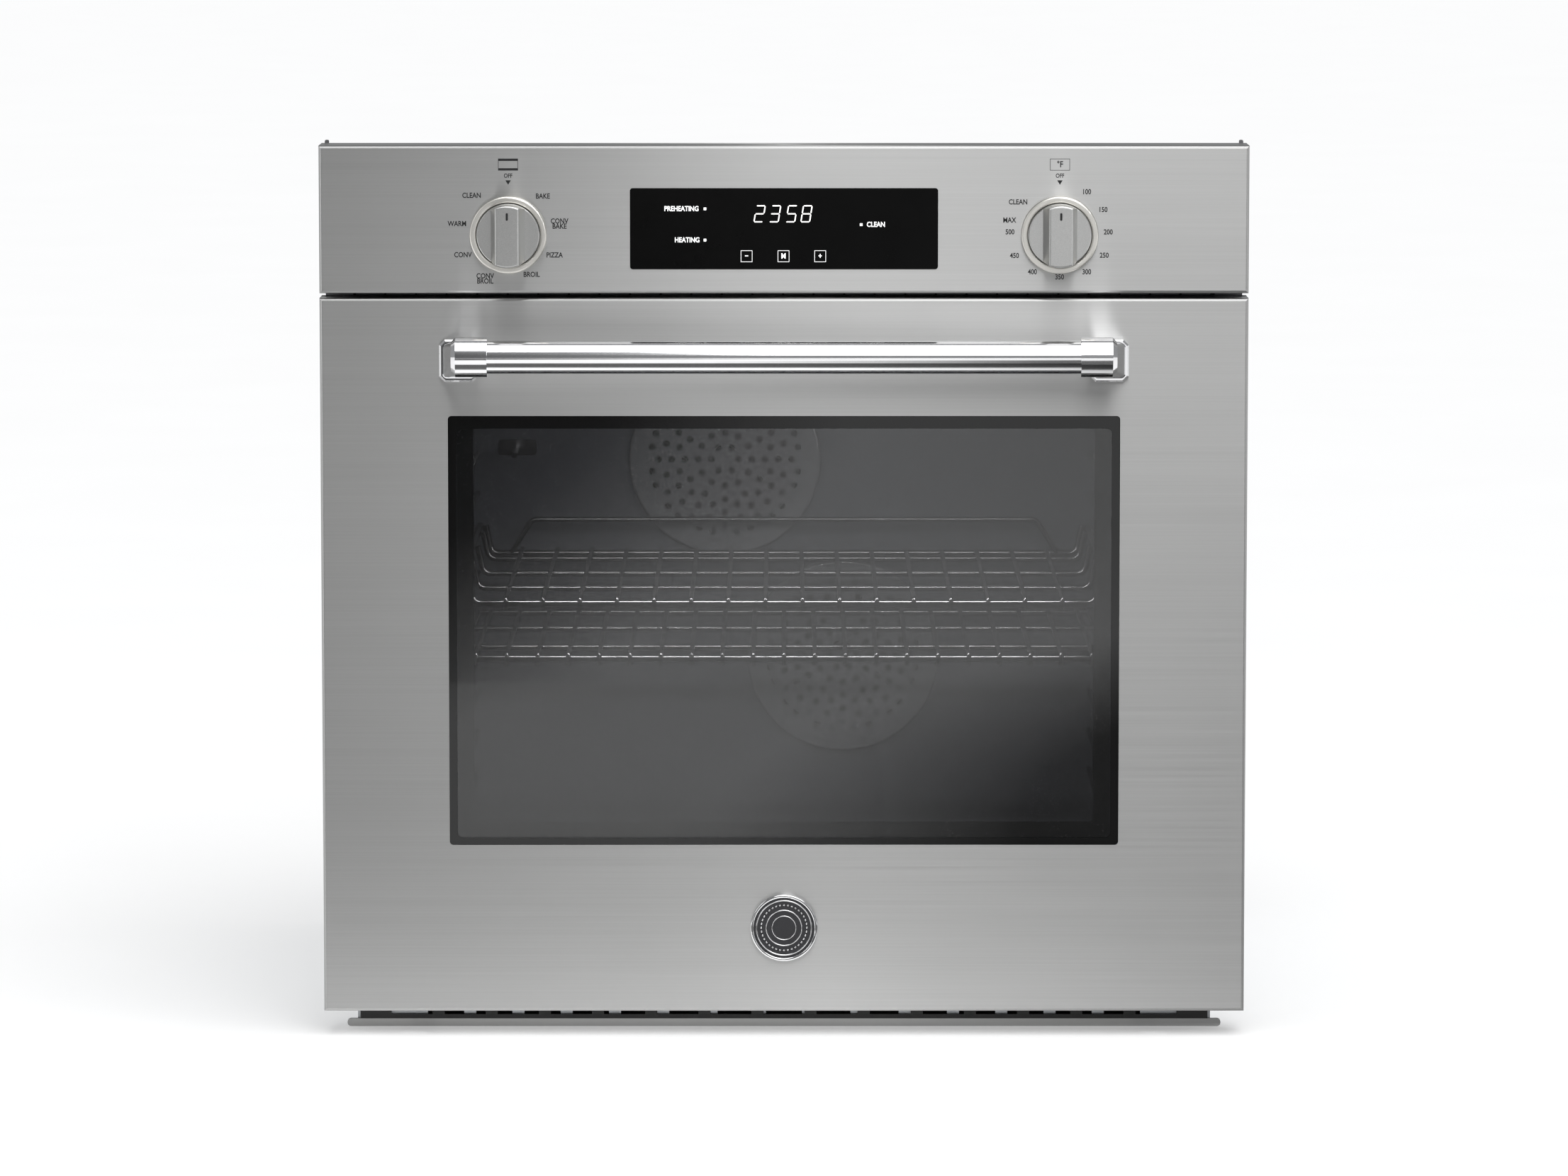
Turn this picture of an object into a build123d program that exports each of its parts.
from build123d import *
import math
import os

# A built-in wall oven, in millimetres. X runs to the right seen from the front, Y to the back, Z up.
# The origin is on the base, under the middle of the overall box.

# ---- driving dimensions: faces and levels
FACE_WIDTH = 756.0          # door and control panel
FACE_HALF = FACE_WIDTH / 2
FACE_Y = -266.0             # front of the door skin and the control panel
FRAME_FRONT = -220.0        # front of the chassis frame
SEAT_Y = -218.0             # back of the mounting flanges, which the cabinet meets
REAR_Y = 329.75             # outside of the rear cover
CHASSIS_HALF = 353.0
CHASSIS_TOP = 698.0
FLANGE_HALF = 375.5         # outer edge of the mounting flanges
TRIM_TOP = 6.4
VENT_TOP = 20.0
DOOR_BOTTOM = 20.0
DOOR_TOP = 607.0
PANEL_BOTTOM = 611.0
PANEL_TOP = 731.0
TAB_TOP = 733.5
SHEET = 1.2                 # casing sheet
SKIN = 1.5                  # stainless skins
LINER = 1.5

# ---- cavity
CAVITY_HALF = 280.0
CAVITY_FLOOR = 100.0
CAVITY_ROOF = 530.0
CAVITY_MIDDLE = (CAVITY_ROOF + CAVITY_FLOOR) / 2
CAVITY_BACK = 225.0
CAVITY_CORNER = 10.0
WALL = 1.5
WELL_R = 78.0
WELL_BACK = 263.5
FANS = {"upper": (-52.0, 430.0), "lower": (52.0, 256.0)}
FAN_SHAFT_R = 3.0
LAMP_Y = 90.0
LAMP_Z = 440.0
PROBE_X = -235.0
PROBE_Z = 440.0
BROIL_Z = 519.0
BAKE_Z = 91.0
ELEMENT_R = 3.25
WELD_IN = 0.8               # how deep a bracket is set into its tube
ELEMENT_LEG_END = 262.0       # how far back the broil and bake legs reach
LEG_X = 30.0
LEG_HOLE_R = 4.2
RING_R = 70.0               # convection element, with its legs at these two angles
RING_ENDS = (256.0, 284.0)
RING_Y = 243.0
COVER_R = 84.5              # fan cover
COVER_FRONT = 218.5
COVER_PITCH = 11.75         # from hole to hole along a spoke
LENS_R = 34.0
GASKET_OUT = 17.0           # the gasket's outer edge, beyond the mouth
GASKET_WIDTH = 8.0

# ---- racks
RACK_LEVELS = [162.0 + 35.0 * i for i in range(9)]
LOWER_RACK_Z = 302.0
UPPER_RACK_Z = 348.0
UPPER_RACK_DROP = 24.0      # the upper rack's floor hangs this far below its side rails
RACK_HALF = 267.5
RACK_FRONT = -187.0
RACK_REAR = 207.0
FRAME_WIRE = 3.0
ROD_WIRE = 1.9
CROSS_WIRE = 2.5
WELD = 0.5                  # how deep crossing wires are set into each other
STOP_RISE = 30.0
GUIDE_X = 269.5
LADDER_X = 274.0
LADDER_WIRE = 2.5

# ---- door
WINDOW_HALF = 274.0
WINDOW_BOTTOM = 158.0
WINDOW_TOP = 511.0
WINDOW_CORNER = 3.0
PANE = 4.0                  # thickness of each glass pane
MIDDLE_PANE_Y = -248.0
SKIN_BACK = -228.0
LINER_FRONT = -226.0
LINER_BACK = LINER_FRONT + LINER
LINER_HALF = 366.0
LINER_BOTTOM = 44.0
LINER_TOP = 597.0
PIVOT_Y = -242.0
PIVOT_Z = 36.0
HINGE_X = 300.0
PIN_R = 3.0
SPRING_FOOT = 64.0
RUNNING = 0.05              # radial clearance of a pin or shaft in its hole

# ---- handle and badge
BAR_R = 13.5
BAR_Y = -316.5
BAR_Z = 563.0
BAR_HALF = 252.0
CAP_R = 16.25
CAP_IN = 239.6
CAP_OUT = 268.6
FOOT_IN = 249.0
FOOT_OUT = 280.5
FOOT_Z = 556.5
FOOT_H = 34.5
FOOT_THICK = 6.0
BADGE_Z = 89.6
BADGE_R = 27.65
BADGE_DISC_R = 24.85

# ---- controls
KNOB_X = 224.0
KNOB_Z = 658.8
BEZEL_R = 31.4
KNOB_R = 25.5
GRIP_BASE = 28.0            # width of the knob's grip where it meets the skirt, and at its face
GRIP_FACE = 19.4
GRIP_DEPTH = 24.0
SPINDLE_R = 3.0
GLASS_HALF = 125.0
GLASS_LOW = 630.8
GLASS_HIGH = 696.5
GLASS_MIDDLE = (GLASS_LOW + GLASS_HIGH) / 2

# ---- blower, latch and supply inlet
BLOWER_Y = 120.0
BLOWER_FLOOR = 563.0
BLOWER_ROOF = 640.0
DUCT_HALF = 140.0
DUCT_LOW = 585.0
DUCT_HIGH = 609.0
LATCH_Y = -205.0
LATCH_Z = 570.0
INLET_X = -250.0
INLET_Z = 640.0
INLET_R = 10.5
REAR_SCREW_R = 2.0
REAR_SCREW_X = 346.0
REAR_SCREW_Z = (60.0, 250.0, 450.0, 640.0)
CABINET_SCREW_R = 2.5
CABINET_SCREW_X = 365.0
CABINET_SCREW_Z = (150.0, 590.0)


def block(x0, x1, y0, y1, z0, z1):
    """A box between its lowest and highest corners."""
    return Pos((x0 + x1) / 2, (y0 + y1) / 2, (z0 + z1) / 2) * Box(x1 - x0, y1 - y0, z1 - z0)


def rod_x(x0, x1, y, z, r):
    return Pos((x0 + x1) / 2, y, z) * Rot(0, 90, 0) * Cylinder(r, abs(x1 - x0))


def rod_y(x, y0, y1, z, r):
    return Pos(x, (y0 + y1) / 2, z) * Rot(90, 0, 0) * Cylinder(r, y1 - y0)


def rod_z(x, y, z0, z1, r):
    return Pos(x, y, (z0 + z1) / 2) * Cylinder(r, z1 - z0)


def plate(sketch, y0, y1):
    """A sketch drawn in X and Z, given its thickness from y0 back to y1."""
    return extrude(Plane.XZ.offset(-y1) * sketch, amount=y1 - y0)


def tube_along(points, bend, r):
    """A round wire that follows straight runs joined by bends of one radius."""
    path = FilletPolyline(*points, radius=bend)
    return sweep(Plane(origin=path @ 0, z_dir=path % 0) * Circle(r), path=path)


def left(shape):
    """The mirror image of a shape across the middle of the oven."""
    return mirror(shape, about=Plane.YZ)


def group(shapes):
    return Compound(children=list(shapes))


def pair(shape):
    return group([shape, left(shape)])


def rolled_shell(half, z0, z1, y_back, thickness, roll):
    """A pressed front: a face with rolled edges and returns on all four sides, open at the back."""
    outer = block(-half, half, FACE_Y, y_back, z0, z1)
    outer = fillet(outer.faces().sort_by(Axis.Y)[0].edges(), roll)
    t = thickness
    inner = block(-half + t, half - t, FACE_Y + t, y_back, z0 + t, z1 - t)
    inner = fillet(inner.faces().sort_by(Axis.Y)[0].edges(), roll - t)
    return outer - inner


def ring_y(x, y0, y1, z, outer, inner):
    """A flat ring about an axis along Y."""
    return rod_y(x, y0, y1, z, outer) - rod_y(x, y0 - 1, y1 + 1, z, inner)


def polar(radius, degrees):
    """The point at a radius and an angle."""
    a = math.radians(degrees)
    return radius * math.cos(a), radius * math.sin(a)


# ---- casing

def front_frame():
    """The steel frame behind the door and the panel, with the oven's mouth cut in it."""
    frame = block(-CHASSIS_HALF, CHASSIS_HALF, FRAME_FRONT, SEAT_Y, VENT_TOP, PANEL_TOP - 2)
    frame -= cavity_prism(0, FRAME_FRONT, SEAT_Y)
    for side in (-1, 1):
        x = side * HINGE_X
        frame -= block(x - 4, x + 4, FRAME_FRONT, SEAT_Y, PIVOT_Z - 8, PIVOT_Z + 8)
        frame -= rod_y(side * 150, FRAME_FRONT, SEAT_Y, KNOB_Z, 15)
    frame -= block(-10, 16, FRAME_FRONT, SEAT_Y, LATCH_Z - 2, LATCH_Z + 5)
    frame -= block(-DUCT_HALF + 2, DUCT_HALF - 2, FRAME_FRONT, SEAT_Y, DUCT_LOW + 2, DUCT_HIGH - 3)
    return frame


def side_panel_right():
    """A casing side with a flange turned in at the back for the rear cover's screws."""
    back = REAR_Y - SHEET
    panel = block(CHASSIS_HALF - SHEET, CHASSIS_HALF, SEAT_Y, back, 0, CHASSIS_TOP)
    panel += block(CHASSIS_HALF - 14, CHASSIS_HALF, back - SHEET, back, 2, CHASSIS_TOP - 2)
    for z in REAR_SCREW_Z:
        panel -= rod_y(REAR_SCREW_X, back - 2 * SHEET, back, z, REAR_SCREW_R)
    return panel


def top_cover():
    inside = CHASSIS_HALF - SHEET
    cover = block(-inside, inside, SEAT_Y, REAR_Y - SHEET, CHASSIS_TOP - SHEET, CHASSIS_TOP)
    slot = extrude(SlotOverall(40, 6), amount=SHEET, both=True)
    for y in (210, 240):
        for i in range(9):
            cover -= Pos(-240 + 60 * i, y, CHASSIS_TOP - SHEET / 2) * slot
    return cover


def rear_cover():
    """The back sheet: louvre slots, the supply inlet's hole and the screw holes."""
    y0 = REAR_Y - SHEET
    cover = block(-CHASSIS_HALF, CHASSIS_HALF, y0, REAR_Y, 0, CHASSIS_TOP)
    slots = []
    for row in range(4):
        for i in range(7):
            place = Pos(-180 + 60 * i, 560 + 24 * row)
            slots.append(plate(place * SlotOverall(42, 7), y0 - 1, REAR_Y + 1))
    holes = []
    for z in REAR_SCREW_Z:
        holes += [rod_y(side * REAR_SCREW_X, y0, REAR_Y, z, REAR_SCREW_R) for side in (-1, 1)]
    inlet = rod_y(INLET_X, y0, REAR_Y, INLET_Z, 13.0)
    return cover - slots - holes - inlet


def base_pan():
    """The bottom sheet, turned up at the front behind the lower vent."""
    inside = CHASSIS_HALF - SHEET
    front = SEAT_Y
    pan = block(-inside, inside, front, REAR_Y - SHEET, 0, SHEET)
    pan += block(-inside, inside, front, front + SHEET, 0, VENT_TOP)
    vents = []
    for i in range(15):
        x = -280 + 40 * i
        vents.append(block(x - 15, x + 15, front - 1, front + 2, 9, 17))
    return pan - vents


def side_trim_right():
    """A mounting flange: it laps the cabinet's face, takes its two screws and ends in a top tab."""
    flange = block(CHASSIS_HALF, FLANGE_HALF, FRAME_FRONT, SEAT_Y, 24, PANEL_TOP - 3)
    flange += block(CHASSIS_HALF, CHASSIS_HALF + SKIN, SEAT_Y, SEAT_Y + 18, 24, 690)
    tab_sketch = Pos(FLANGE_HALF - 1.75, TAB_TOP - 4) * RectangleRounded(3.5, 8, 1.2)
    flange += plate(tab_sketch, FRAME_FRONT, SEAT_Y)
    for z in CABINET_SCREW_Z:
        flange -= rod_y(CABINET_SCREW_X, FRAME_FRONT - 1, SEAT_Y + 1, z, CABINET_SCREW_R)
    return flange


def bottom_trim():
    """The polished strip under the door, with rounded ends."""
    return plate(Pos(0, TRIM_TOP / 2) * RectangleRounded(723, TRIM_TOP, 3.0), -222, SEAT_Y)


def lower_vent():
    """The dark louvred strip between the bottom trim and the door."""
    strip = block(-350.6, 350.6, -222, SEAT_Y, TRIM_TOP, VENT_TOP)
    strip -= block(-349.4, 349.4, -220.8, SEAT_Y, TRIM_TOP + 1, VENT_TOP - 1)
    slots = []
    for i in range(15):
        x = -308 + 44 * i
        slots.append(block(x - 17, x + 17, -223, -220, 10, 16))
    return strip - slots


def vent_grille():
    """The ribbed outlet for cooling air, in the gap between the door and the panel."""
    half = CHASSIS_HALF - 0.5
    grille = block(-half, half, LINER_FRONT, FRAME_FRONT, 598, PANEL_BOTTOM)
    bay = 2 * (half - 2) / 28
    bays = []
    for i in range(28):
        x = -half + 2 + bay * i
        bays.append(block(x, x + bay - 1.6, LINER_FRONT - 1, FRAME_FRONT + 1, 600, 609.5))
    return grille - bays


# ---- cavity and heat

def cavity_prism(grow, y0, y1):
    width = 2 * (CAVITY_HALF + grow)
    height = CAVITY_ROOF - CAVITY_FLOOR + 2 * grow
    return plate(Pos(0, CAVITY_MIDDLE) * RectangleRounded(width, height, CAVITY_CORNER + grow), y0, y1)


def leg_holes(y0, y1, z, r):
    return [rod_y(side * LEG_X, y0, y1, z, r) for side in (-1, 1)]


def ring_legs(fan, y0, y1, r):
    x, z = FANS[fan]
    legs = []
    for degrees in RING_ENDS:
        dx, dz = polar(RING_R, degrees)
        legs.append(rod_y(x + dx, y0, y1, z + dz, r))
    return legs


def oven_cavity():
    """The enamelled steel liner: five walls, a front flange and two fan wells in the back."""
    shell = cavity_prism(WALL, SEAT_Y, CAVITY_BACK + WALL) + cavity_prism(16, SEAT_Y, SEAT_Y + WALL)
    for x, z in FANS.values():
        shell += rod_y(x, CAVITY_BACK + WALL / 2, WELL_BACK + WALL, z, WELL_R + WALL)
    shell -= cavity_prism(0, SEAT_Y, CAVITY_BACK)
    for name, (x, z) in FANS.items():
        shell -= rod_y(x, CAVITY_BACK - 1, WELL_BACK, z, WELL_R)
        shell -= rod_y(x, WELL_BACK - 1, WELL_BACK + 3, z, 4.5)
        shell -= ring_legs(name, WELL_BACK - 1, WELL_BACK + 3, LEG_HOLE_R)
    shell -= rod_x(-CAVITY_HALF - 3, CAVITY_HALF + 3, LAMP_Y, LAMP_Z, 30)
    shell -= leg_holes(CAVITY_BACK - 1, CAVITY_BACK + 3, BROIL_Z, LEG_HOLE_R)
    shell -= rod_y(PROBE_X, CAVITY_BACK - 1, CAVITY_BACK + 3, PROBE_Z, 3.2)
    return shell


def insulation_blanket():
    """Glass-fibre wrap round the cavity, cut away for the wells, lamps and terminals."""
    back = CAVITY_BACK + 27
    blanket = block(-312, 312, SEAT_Y + WALL, back, 62, 560)
    blanket -= cavity_prism(WALL + 0.3, SEAT_Y, CAVITY_BACK + WALL + 0.3)
    blanket -= block(-270, 270, SEAT_Y, 215, 84, CAVITY_FLOOR)
    for x, z in FANS.values():
        blanket -= rod_y(x, CAVITY_BACK, back + 1, z, WELL_R + WALL + 0.8)
    blanket -= rod_x(-320, 320, LAMP_Y, LAMP_Z, LENS_R + 0.5)
    blanket -= leg_holes(CAVITY_BACK, back + 1, BROIL_Z, 4.5)
    blanket -= leg_holes(200, back + 1, BAKE_Z, 4.5)
    blanket -= rod_y(PROBE_X, CAVITY_BACK, back + 1, PROBE_Z, 4.5)
    return blanket


def door_gasket():
    """The woven seal round the oven's mouth, which the door's liner presses on."""
    width = 2 * CAVITY_HALF + 2 * GASKET_OUT
    height = CAVITY_ROOF - CAVITY_FLOOR + 2 * GASKET_OUT
    inner = RectangleRounded(width - 2 * GASKET_WIDTH, height - 2 * GASKET_WIDTH, 12)
    ring = RectangleRounded(width, height, 20) - inner
    gasket = plate(Pos(0, CAVITY_MIDDLE) * ring, LINER_BACK + 0.4, FRAME_FRONT)
    return fillet(gasket.faces().sort_by(Axis.Y)[0].edges(), 1.8)


def heating_loop(z):
    """A tubular element bent into a flat serpentine, with both ends going out at the back."""
    wide, mid, narrow = 230, 140, 50
    rear, turn, front = 185, 150, -170
    half = [(LEG_X, ELEMENT_LEG_END), (LEG_X, rear), (wide, rear), (wide, front)]
    half += [(mid, front), (mid, turn), (narrow, turn), (narrow, front)]
    points = [(-x, y, z) for x, y in half] + [(x, y, z) for x, y in reversed(half)]
    return tube_along(points, 20, ELEMENT_R)


def element_blocks(z0, z1):
    """The eight small brackets that carry a heating loop."""
    return [block(x - 4, x + 4, y - 6, y + 6, z0, z1) for x in (-230, -50, 50, 230) for y in (-100, 90)]


def broil_element():
    return heating_loop(BROIL_Z) + element_blocks(BROIL_Z + ELEMENT_R - WELD_IN, CAVITY_ROOF)


def bake_element():
    return heating_loop(BAKE_Z) + element_blocks(BAKE_Z + ELEMENT_R - WELD_IN, CAVITY_FLOOR - WALL)


def convection_element(fan):
    """A nearly closed ring round the fan, with two legs out through the back of its well."""
    x, z = FANS[fan]
    start, end = RING_ENDS
    section = Pos(RING_R, 0) * Circle(ELEMENT_R)
    ring = revolve(Plane.XZ * section, Axis.Z, revolution_arc=360 - (end - start))
    ring = Pos(x, RING_Y, z) * Rot(90, 0, 0) * Rot(0, 0, end) * ring
    for leg in ring_legs(fan, RING_Y, WELL_BACK + 20, ELEMENT_R):
        ring += leg
    for degrees in RING_ENDS:
        dx, dz = polar(RING_R, degrees)
        ring += Pos(x + dx, RING_Y, z + dz) * Sphere(ELEMENT_R)
    return ring


def fan_blade(fan):
    """A blade wheel with its hub and shaft."""
    x, z = FANS[fan]
    disc_front, disc_back, blade_front = 253.5, 255, 235
    wheel = rod_y(0, disc_front, disc_back, 0, 60)
    wheel += rod_y(0, disc_front - 13.5, disc_back + 4, 0, 10)
    blade = Pos(46, 0, 0) * Rot(0, 18, 0) * block(-12, 12, blade_front, disc_front + 0.5, -0.7, 0.7)
    for i in range(10):
        wheel += Rot(0, 36 * i, 0) * blade
    wheel += rod_y(0, blade_front + 3, 298, 0, FAN_SHAFT_R)
    return Pos(x, 0, z) * wheel


def fan_motor(fan):
    x, z = FANS[fan]
    y0 = WELL_BACK + WALL
    motor = rod_y(0, y0 + 8, y0 + 40, 0, 30)
    motor += block(-40, 40, y0, y0 + 2, -12, 12)
    for side in (-1, 1):
        motor += rod_y(side * 24, y0, y0 + 9, 0, 4)
    motor += block(-22, 22, y0 + 12, y0 + 36, 28, 40)
    motor -= rod_y(0, y0 - 1, y0 + 36, 0, FAN_SHAFT_R + RUNNING)
    return Pos(x, 0, z) * motor


def cover_holes():
    """Centres of the fan cover's holes: spokes every 30 degrees and shorter ones between them."""
    centres = []
    for i in range(12):
        spoke = 30 * i
        on_spoke = [2, 3, 4, 5] if i % 2 else [1, 2, 3, 4, 5]
        between = [(3.52, 15), (4.53, 15), (5.53, 9.5), (5.53, 20.5)]
        centres += [polar(COVER_PITCH * step, spoke) for step in on_spoke]
        centres += [polar(COVER_PITCH * step, spoke + turn) for step, turn in between]
    return centres


def fan_cover(fan):
    """A dished round cover with punched holes, standing on the cavity's back wall."""
    x, z = FANS[fan]
    dish = rod_y(0, COVER_FRONT, CAVITY_BACK, 0, COVER_R)
    dish = fillet(dish.faces().sort_by(Axis.Y)[0].edges(), 2.5)
    dish -= rod_y(0, COVER_FRONT + SHEET, CAVITY_BACK, 0, COVER_R - SHEET)
    holes = Sketch() + [Pos(dx, dz) * Circle(3.0) for dx, dz in cover_holes()]
    dish -= plate(holes, COVER_FRONT - 1, COVER_FRONT + 3)
    return Pos(x, 0, z) * dish


def lamp_housing_right():
    """The cup behind the side wall that holds the lamp socket."""
    inner = CAVITY_HALF + WALL
    outer = inner + 28.5
    cup = rod_x(inner, outer, LAMP_Y, LAMP_Z, LENS_R - 0.5)
    cup -= rod_x(inner, outer - SHEET, LAMP_Y, LAMP_Z, LENS_R - 2)
    return cup + rod_x(300, outer - 0.5, LAMP_Y, LAMP_Z, 10)


def lamp_lens_right():
    """A pressed glass cover with a crowned face, seated on the cavity's side wall."""
    glass = rod_x(CAVITY_HALF - 4.5, CAVITY_HALF, LAMP_Y, LAMP_Z, LENS_R)
    return fillet(glass.faces().sort_by(Axis.X)[0].edges(), 3.0)


def lamp_bulb_right():
    bulb = rod_x(286, 300, LAMP_Y, LAMP_Z, 6.5)
    return fillet(bulb.faces().sort_by(Axis.X)[0].edges(), 5.0)


def temperature_probe():
    """The sensing rod on the back wall, with its mounting plate."""
    plate_y = CAVITY_BACK - 1.5
    probe = rod_y(PROBE_X, 150, 262, PROBE_Z, 2.5)
    probe += plate(Pos(PROBE_X, PROBE_Z) * RectangleRounded(34, 14, 4), plate_y, CAVITY_BACK)
    for side in (-1, 1):
        probe += rod_y(PROBE_X + side * 12, plate_y - 2, plate_y + 0.5, PROBE_Z, 3.2)
    return probe


# ---- racks and their guides

def rack_ladder_right():
    """The wire guides on one side wall: three uprights, nine rails and wall studs."""
    uprights = [rod_z(LADDER_X, y, 140, 480, LADDER_WIRE) for y in (-170, 0, 180)]
    rails = []
    for level in RACK_LEVELS:
        rails.append(rod_y(GUIDE_X, -198, 208, level - FRAME_WIRE - LADDER_WIRE - 0.4, LADDER_WIRE))
    studs = [rod_x(LADDER_X, CAVITY_HALF, y, z, 3.4) for y in (-170, 180) for z in (150, 470)]
    return uprights[0] + uprights[1:] + rails + studs


def rack_frame(z):
    """The rack's border wire, with rounded corners."""
    middle = (RACK_FRONT + RACK_REAR) / 2
    depth = RACK_REAR - RACK_FRONT
    border = Pos(0, middle, z) * RectangleRounded(2 * RACK_HALF, depth, 9).wire()
    start = Plane(origin=border @ 0, z_dir=border % 0)
    return sweep(start * Circle(FRAME_WIRE), path=border)


def rack_rod(x, z):
    """One lengthwise rod, laid on the border wire and bent down in front of it."""
    high = z + FRAME_WIRE + ROD_WIRE - WELD
    nose = RACK_FRONT - FRAME_WIRE - ROD_WIRE + WELD
    points = [(x, RACK_REAR, high), (x, nose, high), (x, nose, z - 4.5)]
    return tube_along(points, 3.0, ROD_WIRE)


def rack_rods(count, pitch, z):
    return [rack_rod((i - (count - 1) / 2) * pitch, z) for i in range(count)]


def lower_rack():
    z = LOWER_RACK_Z
    cross_places = (RACK_FRONT + 75, RACK_FRONT + 210, RACK_REAR - 60)
    crosses = [rod_x(-RACK_HALF, RACK_HALF, y, z + WELD, CROSS_WIRE) for y in cross_places]
    return rack_frame(z) + rack_rods(21, 25.5, z) + crosses


def sling_wire(y, z, r):
    """A crosswise wire that comes down from both side rails to the rack's floor."""
    top = UPPER_RACK_Z + UPPER_RACK_DROP + WELD
    high = RACK_HALF - 4.7
    low = high - 5
    points = [(-high, y, top), (-low, y, z), (low, y, z), (high, y, top)]
    return tube_along(points, 8, r)


def upper_rack():
    """A drop-floor rack: side rails, slung cross wires, wider-spaced rods and a raised rear stop."""
    z = UPPER_RACK_Z
    rack = sling_wire(RACK_FRONT, z, FRAME_WIRE)
    for y in (RACK_FRONT + 111, RACK_FRONT + 225, RACK_REAR - 50):
        rack += sling_wire(y, z + WELD, CROSS_WIRE)
    rack += sling_wire(RACK_REAR, z, FRAME_WIRE)
    for side in (-1, 1):
        rack += rod_y(side * RACK_HALF, RACK_FRONT - 4, RACK_REAR + 3, z + UPPER_RACK_DROP, FRAME_WIRE)
    rack += rack_rods(16, 30.7, z)
    y, foot, head = RACK_REAR - 1, 240, 222
    stop = [(-foot, y, z), (-head, y, z + STOP_RISE), (head, y, z + STOP_RISE), (foot, y, z)]
    return rack + tube_along(stop, 8, 2.2)


# ---- door

def door_skin():
    """The pressed stainless front of the door, with the window's opening and hinge notches."""
    skin = rolled_shell(FACE_HALF, DOOR_BOTTOM, DOOR_TOP, SKIN_BACK, SKIN, 2.5)
    opening = RectangleRounded(2 * WINDOW_HALF, WINDOW_TOP - WINDOW_BOTTOM, WINDOW_CORNER)
    skin -= plate(Pos(0, (WINDOW_TOP + WINDOW_BOTTOM) / 2) * opening, FACE_Y - 1, FACE_Y + 5)
    for side in (-1, 1):
        x = side * HINGE_X
        skin -= block(x - 10, x + 10, PIVOT_Y - 14, SKIN_BACK + 1, DOOR_BOTTOM - 1, DOOR_BOTTOM + 4)
    return skin


def glass_pane(half, low, high, y0, y1):
    return plate(Pos(0, (low + high) / 2) * RectangleRounded(2 * half, high - low, 4), y0, y1)


def outer_glass():
    return glass_pane(286, 146, 523, FACE_Y + SKIN, FACE_Y + SKIN + PANE)


def middle_glass():
    return glass_pane(283.5, 150, 519, MIDDLE_PANE_Y, MIDDLE_PANE_Y + PANE)


def inner_glass():
    return glass_pane(268, 160, 509, LINER_FRONT - PANE, LINER_FRONT)


def glass_bracket_right():
    """A channel down one side of the door that clamps the panes between skin and liner."""
    bracket = block(272, 290, FACE_Y + SKIN + PANE, LINER_FRONT, 150, 519)
    bracket -= block(270, 284, MIDDLE_PANE_Y - 0.1, MIDDLE_PANE_Y + PANE + 0.1, 149, 520)
    bracket -= block(270, 288, MIDDLE_PANE_Y + 5.5, MIDDLE_PANE_Y + 16, 149, 520)
    return bracket


def door_liner():
    """The inner pan of the door, with the window's opening, hinge notches and the latch's slot."""
    liner = block(-LINER_HALF, LINER_HALF, LINER_FRONT - 14, LINER_BACK, LINER_BOTTOM, LINER_TOP)
    inside = LINER_HALF - LINER
    liner -= block(-inside, inside, LINER_FRONT - 15, LINER_FRONT, LINER_BOTTOM + LINER, LINER_TOP - LINER)
    liner -= glass_pane(255, 172, 497, LINER_FRONT - 1, LINER_BACK + 1)
    for side in (-1, 1):
        x = side * HINGE_X
        liner -= block(x - 10, x + 10, LINER_FRONT - 15, LINER_BACK + 1, LINER_BOTTOM - 1, SPRING_FOOT)
    liner -= block(-12, 12, LINER_FRONT - 1, LINER_BACK + 1, LATCH_Z - 6, LATCH_Z + 9)
    return liner


def handle_bar():
    return rod_x(-BAR_HALF, BAR_HALF, BAR_Y, BAR_Z, BAR_R)


def handle_bracket_right():
    """A cap on the bar's end, an arm that widens towards the door and a chamfered foot."""
    cap = rod_x(CAP_IN, CAP_OUT, BAR_Y, BAR_Z, CAP_R)
    cap = chamfer(cap.faces().sort_by(Axis.X)[-1].edges(), 3.5)
    foot_x = (FOOT_IN + FOOT_OUT) / 2
    foot_sketch = chamfer(Rectangle(FOOT_OUT - FOOT_IN, FOOT_H).vertices(), 4.5)
    foot = plate(Pos(foot_x, FOOT_Z) * foot_sketch, FACE_Y - FOOT_THICK, FACE_Y)
    foot = chamfer(foot.faces().sort_by(Axis.Y)[0].edges(), 1.5)
    low = Plane.XZ.offset(-FACE_Y + FOOT_THICK - 1) * (Pos(foot_x, FOOT_Z) * RectangleRounded(27, 29, 4))
    high = Plane.XZ.offset(-BAR_Y) * (Pos(254.2, BAR_Z) * RectangleRounded(20, 24, 4))
    arm = loft([low.face(), high.face()])
    bracket = cap + arm + foot
    return bracket - rod_x(CAP_IN - 1, BAR_HALF, BAR_Y, BAR_Z, BAR_R + 0.02)


def badge_rim():
    ring = ring_y(0, FACE_Y - 4, FACE_Y, BADGE_Z, BADGE_R, BADGE_DISC_R)
    return fillet(ring.faces().sort_by(Axis.Y)[0].edges(), 1.2)


def badge_disc():
    disc = rod_y(0, FACE_Y - 2.2, FACE_Y, BADGE_Z, BADGE_DISC_R - 0.02)
    return disc - ring_y(0, FACE_Y - 3, FACE_Y - 1.6, BADGE_Z, 19.5, 18.0)


# ---- hinges

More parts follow.
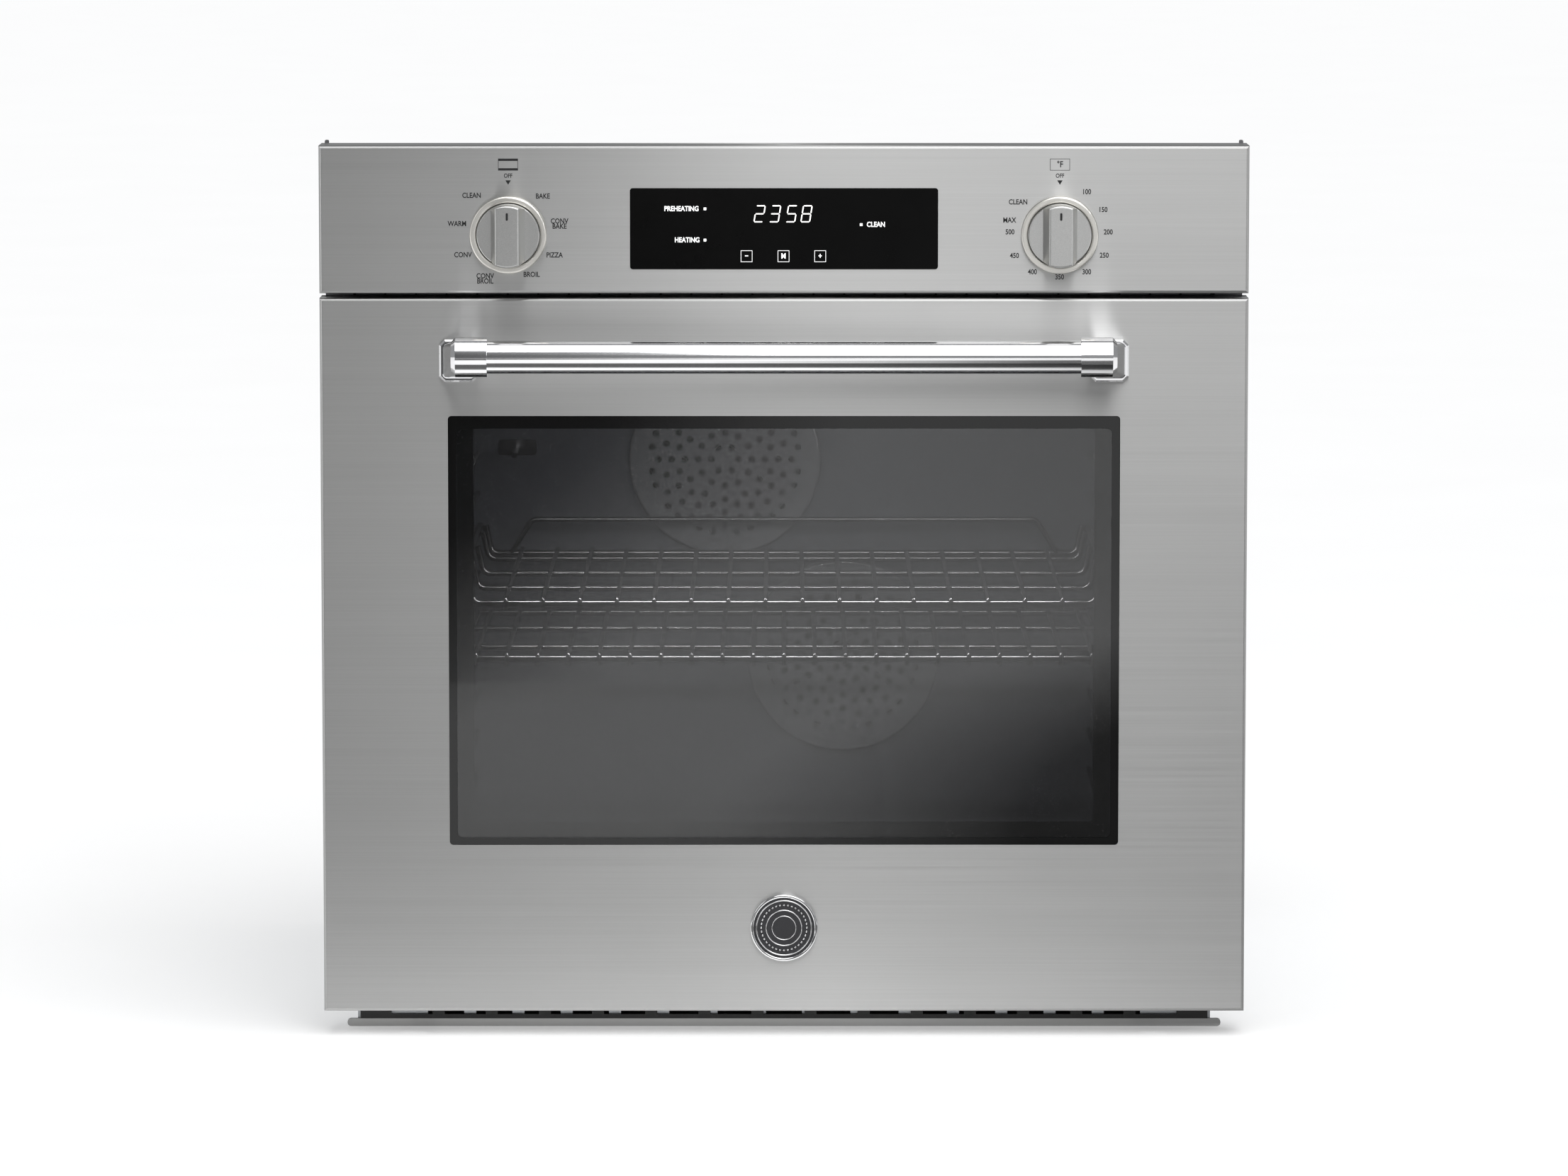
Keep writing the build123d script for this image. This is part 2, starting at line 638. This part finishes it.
def hinge_housing_right():
    """The channel in the door that carries the hinge pin and the spring."""
    x0, x1 = HINGE_X - 8.5, HINGE_X + 8.5
    front = FACE_Y + 8
    body = block(x0, x1, front, SKIN_BACK, 26, 210)
    body -= block(x0 + 2, x1 - 2, front + 2, SKIN_BACK, 25, 206)
    body -= rod_x(x0 - 1, x1 + 1, PIVOT_Y, PIVOT_Z, PIN_R)
    return body


def hinge_arm_right():
    """The arm held by the chassis: an eye on the pin, a bar out through the frame and a shoulder."""
    x0, x1 = HINGE_X - 3, HINGE_X + 3
    arm = block(x0, x1, PIVOT_Y, -190, PIVOT_Z - 6, PIVOT_Z + 6)
    arm += rod_x(x0, x1, PIVOT_Y, PIVOT_Z, 8)
    arm += block(x0, x1, PIVOT_Y - 4, PIVOT_Y + 4, PIVOT_Z, 58)
    arm += block(HINGE_X - 12, HINGE_X + 12, SEAT_Y, SEAT_Y + 4, PIVOT_Z - 12, PIVOT_Z + 14)
    return arm - rod_x(x0 - 1, x1 + 1, PIVOT_Y, PIVOT_Z, PIN_R + RUNNING)


def hinge_pin_right():
    """A headed pin through the housing's two walls and the arm's eye."""
    pin = rod_x(HINGE_X - 8.5, HINGE_X + 8.5, PIVOT_Y, PIVOT_Z, PIN_R - 0.02)
    return pin + rod_x(HINGE_X + 8.5, HINGE_X + 10.5, PIVOT_Y, PIVOT_Z, 5)


def hinge_spring_right():
    """The tension spring that balances the door, between the arm's tail and the housing's top."""
    coil = Helix(pitch=5.2, height=130.0, radius=4.4)
    spring = sweep(Plane(origin=coil @ 0, z_dir=coil % 0) * Circle(1.5), path=coil, is_frenet=True)
    return Pos(HINGE_X, PIVOT_Y, SPRING_FOOT) * spring


# ---- controls

def control_panel():
    """The stainless fascia with its glass's opening and two spindle holes."""
    panel = rolled_shell(FACE_HALF, PANEL_BOTTOM, PANEL_TOP, FRAME_FRONT, SKIN, 2.5)
    opening = RectangleRounded(2 * GLASS_HALF + 0.4, GLASS_HIGH - GLASS_LOW + 0.4, 2.4)
    panel -= plate(Pos(0, GLASS_MIDDLE) * opening, FACE_Y - 1, FACE_Y + 3)
    for side in (-1, 1):
        panel -= rod_y(side * KNOB_X, FACE_Y - 1, FACE_Y + 3, KNOB_Z, 6.2)
    return panel


def display_glass():
    pane = RectangleRounded(2 * GLASS_HALF, GLASS_HIGH - GLASS_LOW, 2.2)
    glass = plate(Pos(0, GLASS_MIDDLE) * pane, FACE_Y - 0.4, FACE_Y + 4)
    return chamfer(glass.faces().sort_by(Axis.Y)[0].edges(), 0.35)


def display_board():
    """The control board behind the glass: display tube, relays and four corner posts."""
    front, back = FACE_Y + 16, FACE_Y + 17.6
    board = block(-150, 150, front, back, GLASS_MIDDLE - 36, GLASS_MIDDLE + 36)
    board += block(-48, 48, FACE_Y + 5, front, 664, 692)
    for x in (-120, -96, 96, 120):
        board += block(x - 8, x + 8, back, back + 14.4, 640, 662)
    for x in (-143, 143):
        for z in (GLASS_MIDDLE - 30, GLASS_MIDDLE + 30):
            board += rod_y(x, FACE_Y + SKIN, back - 0.6, z, 3)
    return board


def rotary_control(side, depth):
    """A rotary control behind the fascia: bush, body, mounting plate and tab terminals."""
    x = side * KNOB_X
    front = FACE_Y + SKIN
    body = block(x - 23, x + 23, front + 6, front + 6 + depth, KNOB_Z - 23, KNOB_Z + 23)
    body += block(x - 30, x + 30, front, front + 1.5, KNOB_Z - 14, KNOB_Z + 14)
    body += rod_y(x, front - SKIN + 0.2, front + 8, KNOB_Z, 6)
    back = front + depth
    for dx in (-12, 0, 12):
        for z in (KNOB_Z - 14, KNOB_Z + 14):
            body += block(x + dx - 3, x + dx + 3, back, back + 12, z - 0.4, z + 0.4)
    for dx in (-26, 26):
        body += block(x + dx - 4, x + dx + 4, front, front + 9, KNOB_Z - 4, KNOB_Z + 4)
    return body - rod_y(x, front - 3, front + 24, KNOB_Z, SPINDLE_R + RUNNING)


def knob_bezel(side):
    """The satin ring on the fascia that the knob turns in."""
    ring = ring_y(0, FACE_Y - 6, FACE_Y, 0, BEZEL_R, KNOB_R + 0.6)
    ring = fillet(ring.faces().sort_by(Axis.Y)[0].edges(), 1.6)
    return Pos(side * KNOB_X, 0, KNOB_Z) * ring


def knob(side):
    """A round skirt, an upright grip as tall as the skirt that narrows to its face, and the spindle."""
    skirt_y = FACE_Y - 8.5
    face_y = skirt_y - GRIP_DEPTH
    skirt = rod_y(0, skirt_y, FACE_Y - 1, 0, KNOB_R)
    skirt = fillet(skirt.faces().sort_by(Axis.Y)[0].edges(), 0.8)
    base = Plane.XZ.offset(-skirt_y - 1) * Rectangle(GRIP_BASE, 3 * KNOB_R)
    face = Plane.XZ.offset(-face_y) * Rectangle(GRIP_FACE, 3 * KNOB_R)
    grip = loft([base.face(), face.face()]) & rod_y(0, face_y - 1, skirt_y, 0, KNOB_R - 0.3)
    grip = fillet(grip.faces().sort_by(Axis.Y)[0].edges(), 1.6)
    spindle = rod_y(0, FACE_Y - 2, FACE_Y + SKIN + 20, 0, SPINDLE_R)
    pointer = plate(Pos(0, 16.4) * SlotOverall(6.5, 2.0, rotation=90), face_y - 1, face_y + 0.6)
    return Pos(side * KNOB_X, 0, KNOB_Z) * (skirt + grip + spindle - pointer)


# ---- cooling, latch and supply

def blower_housing():
    """The blower's box with its duct to the front frame, all one sheet-metal channel."""
    t = SHEET
    box = block(-92, 92, 30, 212, BLOWER_FLOOR, BLOWER_ROOF)
    box += block(-DUCT_HALF, DUCT_HALF, SEAT_Y, 60, DUCT_LOW, DUCT_HIGH)
    hollow = block(-92 + t, 92 - t, 30 + t, 212 - t, BLOWER_FLOOR + t, BLOWER_ROOF - t)
    hollow += block(-DUCT_HALF + t, DUCT_HALF - t, SEAT_Y, 60 - t, DUCT_LOW + t, DUCT_HIGH - t)
    return box - hollow - rod_z(0, BLOWER_Y, BLOWER_ROOF - 2 * t, BLOWER_ROOF + t, 50)


def blower_rotor():
    """A drum of forward-curved blades on a base plate, hanging from its shaft."""
    low = BLOWER_FLOOR + 12
    drum = rod_z(0, 0, low, low + 1.5, 64)
    drum += rod_z(0, 0, low, low + 14, 9)
    drum += rod_z(0, 0, low + 44, low + 46, 64) - rod_z(0, 0, low + 40, low + 50, 56)
    blade = Pos(60, 0, 0) * Rot(0, 0, 35) * block(-4.5, 4.5, -0.6, 0.6, low, low + 45)
    for i in range(24):
        drum += Rot(0, 0, 15 * i) * blade
    drum += rod_z(0, 0, low, 682, FAN_SHAFT_R)
    return Pos(0, BLOWER_Y, 0) * drum


def blower_motor():
    """The motor above the blower's inlet, standing on a three-legged bracket."""
    motor = rod_z(0, 0, 652, 690, 28)
    for i in range(3):
        leg = block(24, 66, -6, 6, 652, 654.5) + block(63.5, 66, -6, 6, BLOWER_ROOF, 654.5)
        leg += block(56, 66, -6, 6, BLOWER_ROOF, BLOWER_ROOF + 1.5)
        motor += Rot(0, 0, 120 * i + 90) * leg
    motor -= rod_z(0, 0, 651, 684, FAN_SHAFT_R + RUNNING)
    return Pos(0, BLOWER_Y, 0) * motor


def latch_motor():
    """The self-clean latch's motor on its plate, with the pivot pin of the hook."""
    base = block(-14, 70, SEAT_Y, -150, LATCH_Z - 6, LATCH_Z - 0.5)
    base += block(22, 62, -202, -160, LATCH_Z - 1, LATCH_Z + 12)
    base += rod_z(0, LATCH_Y, LATCH_Z - 1, LATCH_Z + 6, 2.5)
    return base


def latch_hook():
    """The hook that swings behind the door liner's slot to lock the door."""
    z0, z1 = LATCH_Z, LATCH_Z + 3
    hook = block(-4, 4, LATCH_Y - 33, LATCH_Y + 3, z0, z1)
    hook += rod_z(0, LATCH_Y, z0, z1, 7)
    hook += block(-4, 10, LATCH_Y - 33, LATCH_Y - 27, z0, z1)
    return hook - rod_z(0, LATCH_Y, z0 - 1, z1 + 1, 2.5 + RUNNING)


def power_board():
    """The relay board in the top compartment: tray, transformer and relays."""
    tray = block(180, 330, -140, 60, 566, 568) + block(188, 322, -132, 52, 567, 574)
    tray += block(200, 250, -120, -72, 573, 612)
    for i in range(5):
        tray += block(266, 288, -120 + 32 * i, -98 + 32 * i, 573, 592)
    tray += block(200, 246, 0, 44, 573, 590)
    for x, y in ((186, -134), (324, -134), (186, 54), (324, 54)):
        tray += rod_z(x, y, 560, 567, 4)
    return tray


def conduit_bushing():
    """The strain-relief bushing where the supply conduit enters the rear cover."""
    flange = rod_y(INLET_X, REAR_Y, REAR_Y + 3, INLET_Z, 18)
    body = rod_y(INLET_X, REAR_Y - 15, REAR_Y + 1, INLET_Z, 12.9)
    lock = rod_y(INLET_X, REAR_Y - SHEET - 5, REAR_Y - SHEET, INLET_Z, 17)
    return flange + body + lock - rod_y(INLET_X, REAR_Y - 15, REAR_Y + 3, INLET_Z, INLET_R)


NODES = {
    "front_frame": front_frame(),
    "side_panel_left": left(side_panel_right()),
    "side_panel_right": side_panel_right(),
    "top_cover": top_cover(),
    "rear_cover": rear_cover(),
    "base_pan": base_pan(),
    "side_trims": pair(side_trim_right()),
    "bottom_trim": bottom_trim(),
    "lower_vent": lower_vent(),
    "vent_grille": vent_grille(),
    "oven_cavity": oven_cavity(),
    "insulation_blanket": insulation_blanket(),
    "door_gasket": door_gasket(),
    "broil_element": broil_element(),
    "bake_element": bake_element(),
    "convection_elements": group([convection_element("upper"), convection_element("lower")]),
    "fan_motors": group([fan_motor("upper"), fan_motor("lower")]),
    "fan_blade_upper": fan_blade("upper"),
    "fan_blade_lower": fan_blade("lower"),
    "fan_cover_upper": fan_cover("upper"),
    "fan_cover_lower": fan_cover("lower"),
    "lamp_housings": pair(lamp_housing_right()),
    "lamp_lenses": pair(lamp_lens_right()),
    "lamp_bulbs": pair(lamp_bulb_right()),
    "temperature_probe": temperature_probe(),
    "rack_ladder_left": left(rack_ladder_right()),
    "rack_ladder_right": rack_ladder_right(),
    "lower_rack": lower_rack(),
    "upper_rack": upper_rack(),
    "door_skin": door_skin(),
    "outer_glass": outer_glass(),
    "middle_glass": middle_glass(),
    "inner_glass": inner_glass(),
    "glass_brackets": pair(glass_bracket_right()),
    "door_liner": door_liner(),
    "handle_bar": handle_bar(),
    "handle_bracket_left": left(handle_bracket_right()),
    "handle_bracket_right": handle_bracket_right(),
    "badge_rim": badge_rim(),
    "badge_disc": badge_disc(),
    "hinge_housings": pair(hinge_housing_right()),
    "hinge_arms": pair(hinge_arm_right()),
    "hinge_pins": pair(hinge_pin_right()),
    "hinge_spring_left": left(hinge_spring_right()),
    "hinge_spring_right": hinge_spring_right(),
    "control_panel": control_panel(),
    "display_glass": display_glass(),
    "display_board": display_board(),
    "function_switch": rotary_control(-1, 24),
    "thermostat": rotary_control(1, 20),
    "knob_bezels": group([knob_bezel(-1), knob_bezel(1)]),
    "function_knob": knob(-1),
    "temperature_knob": knob(1),
    "blower_housing": blower_housing(),
    "blower_rotor": blower_rotor(),
    "blower_motor": blower_motor(),
    "latch_motor": latch_motor(),
    "latch_hook": latch_hook(),
    "power_board": power_board(),
    "conduit_bushing": conduit_bushing(),
}

os.makedirs("parts", exist_ok=True)
for name, shape in NODES.items():
    export_step(shape, f"parts/{name}.step")
